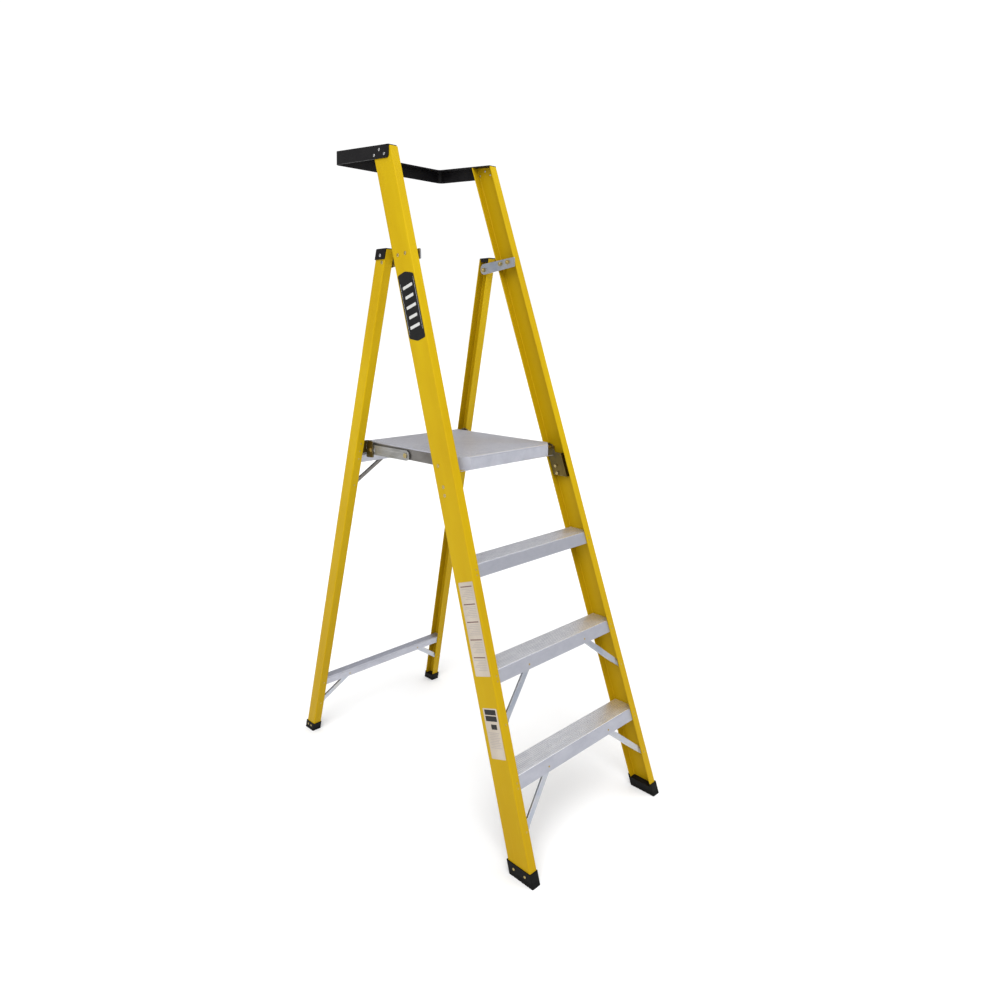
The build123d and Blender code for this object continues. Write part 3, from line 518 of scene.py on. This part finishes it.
def lathe(bm, profile, place, segments):
    """Turns (radius, height) points about z and puts the closed skin at place."""
    rings = []
    for radius, height in profile:
        if radius == 0.0:
            rings.append([bm.verts.new(place @ Vector((0, 0, height)))] * segments)
            continue
        turn = [math.tau * k / segments for k in range(segments)]
        rings.append([bm.verts.new(place @ Vector((radius * math.cos(a), radius * math.sin(a), height)))
                      for a in turn])
    for low, high in zip(rings, rings[1:]):
        for k in range(segments):
            corners = [low[k], low[(k + 1) % segments], high[(k + 1) % segments], high[k]]
            bm.faces.new(list(dict.fromkeys(corners)))


def rivet_profile(head_r, head_h, grip):
    """A blind rivet from its crushed tail to its domed head with the broken mandrel inside."""
    shank_r = 0.55 * head_r
    bulb_h = min(1.1 * head_h, 0.45 * grip)
    bulb_r = 0.80 * head_r
    points = [(0.0, -grip), (0.34 * shank_r, -grip), (0.40 * shank_r, -grip + 0.16 * bulb_h)]
    for k in range(5):
        a = math.radians(-60 + 34 * k)
        points.append((shank_r + (bulb_r - shank_r) * math.cos(a),
                       -grip + bulb_h * (0.55 + 0.42 * math.sin(a))))
    points += [(shank_r, -grip + bulb_h), (shank_r, 0.0), (head_r * 0.96, 0.0)]
    for k in range(7):
        a = math.radians(4 + 11 * k)
        points.append((head_r * math.cos(a), head_h * math.sin(a)))
    points += [(0.235 * head_r, 0.955 * head_h), (0.215 * head_r, 0.86 * head_h), (0.205 * head_r, 0.56 * head_h),
               (0.15 * head_r, 0.50 * head_h), (0.09 * head_r, 0.62 * head_h), (0.0, 0.58 * head_h)]
    return points


def make_rivets():
    for node, slot in SLOT_OF.items():
        if not node.endswith("_rivets"):
            continue
        bm = bmesh.new()
        source = welded(node)
        for faces in islands(source):
            shape = turned_shape(faces)
            turn = shape["out"].to_track_quat("Z", "Y").to_matrix().to_4x4()
            place = Matrix.Translation(shape["seat"]) @ turn
            lathe(bm, rivet_profile(shape["head_r"], shape["head_h"], shape["grip"]), place, 20)
        source.free()
        finish_piece(node + ".looks", bm, BODY_OF[node], PAINTS[slot], slot, [node])


# --- Printing on the labels ---------------------------------------------------------------------

INK_T = 0.06 * MM


class Label:
    """A label's outer face: its middle, its direction up the rail, its direction to the front."""

    def __init__(self, node):
        self.node = node
        bm = welded(node)
        up, _, out = grain_axes(bm)
        self.up = up if up.z > 0 else -up
        self.out = out if out.x < 0 else -out
        self.front = self.up.cross(self.out)
        if self.front.y > 0:
            self.front.negate()
        spans = []
        for axis in (self.up, self.front, self.out):
            reach = [vert.co.dot(axis) for vert in bm.verts]
            spans.append((min(reach), max(reach)))
        bm.free()
        (low, high), (rear, fore), (_, face) = spans
        self.length, self.width = high - low, fore - rear
        self.middle = self.up * (low + high) / 2 + self.front * (rear + fore) / 2 + self.out * face

    def place(self, along, across, lift=0.0):
        return self.middle + self.up * along + self.front * across + self.out * lift

    def ink(self, name, color, outlines):
        """Prints closed outlines, given as (along, across) from the middle, as very thin plates."""
        bm = bmesh.new()
        for outline in outlines:
            low = [bm.verts.new(self.place(*spot, -INK_T)) for spot in outline]
            high = [bm.verts.new(self.place(*spot, INK_T)) for spot in outline]
            bm.faces.new(low)
            bm.faces.new(high)
            for k in range(len(low)):
                other = (k + 1) % len(low)
                bm.faces.new((low[k], low[other], high[other], high[k]))
        bmesh.ops.recalc_face_normals(bm, faces=bm.faces)
        finish_piece(f"{self.node}.{name}", bm, BODY_OF[self.node], INKS[color], SLOT_OF[self.node])


def bar(along, across, length, width, corner=0.0):
    """A rectangle about (along, across), its corners rounded."""
    corner = max(corner, 0.02 * min(length, width))
    outline = []
    for k, (i, j) in enumerate(((1, 1), (-1, 1), (-1, -1), (1, -1))):
        for step in range(4):
            a = math.radians(90 * k + 30 * step)
            outline.append((along + i * (length / 2 - corner) + corner * math.cos(a),
                            across + j * (width / 2 - corner) + corner * math.sin(a)))
    return outline


def make_prints():
    """Plain bars and blocks where the labels carry printing; none of it is lettering or a sign."""
    badge = Label("rail_badge")
    pitch = badge.length / 7
    stripes = [bar(pitch * (k - 2), 0.0, 0.30 * pitch, (0.62 - 0.09 * (k % 2)) * badge.width, 2 * MM)
               for k in range(5)]
    badge.ink("stripes", "white", stripes)
    edges = [bar(0.0, side * 0.435 * badge.width, 0.74 * badge.length, 0.8 * MM) for side in (-1, 1)]
    badge.ink("rules", "white", edges)

    notice = Label("notice_label")
    blocks = 5
    block = 0.94 * notice.length / blocks
    rules, lines = [], []
    for k in range(blocks):
        top = notice.length * 0.47 - k * block
        rules.append(bar(top - 5 * MM, 0.0, 3.4 * MM, 0.80 * notice.width, 0.4 * MM))
        count = 7
        for n in range(count):
            width = (0.80 - 0.10 * ((n * 3 + k) % 4)) * notice.width
            lines.append(bar(top - 13 * MM - n * (block - 18 * MM) / count,
                             0.40 * notice.width - width / 2, 1.5 * MM, width))
    notice.ink("rules", "dark", rules)
    notice.ink("lines", "grey", lines)

    caution = Label("caution_label")
    head = 0.36 * caution.length
    blocks = [bar(head + side * 9.5 * MM, 0.0, 16 * MM, 0.80 * caution.width, 1 * MM) for side in (-1, 1)]
    blocks.append(bar(head - 34 * MM, 0.10 * caution.width, 15 * MM, 0.40 * caution.width, 1 * MM))
    caution.ink("blocks", "black", blocks)
    lines = [bar(head - (52 + 5 * n) * MM, 0.0, 1.5 * MM, (0.78 - 0.12 * (n % 3)) * caution.width)
             for n in range(10)]
    caution.ink("lines", "grey", lines)


# --- Assembly -----------------------------------------------------------------------------------

make_camera()
make_studio()
make_refined()
make_rivets()
make_prints()
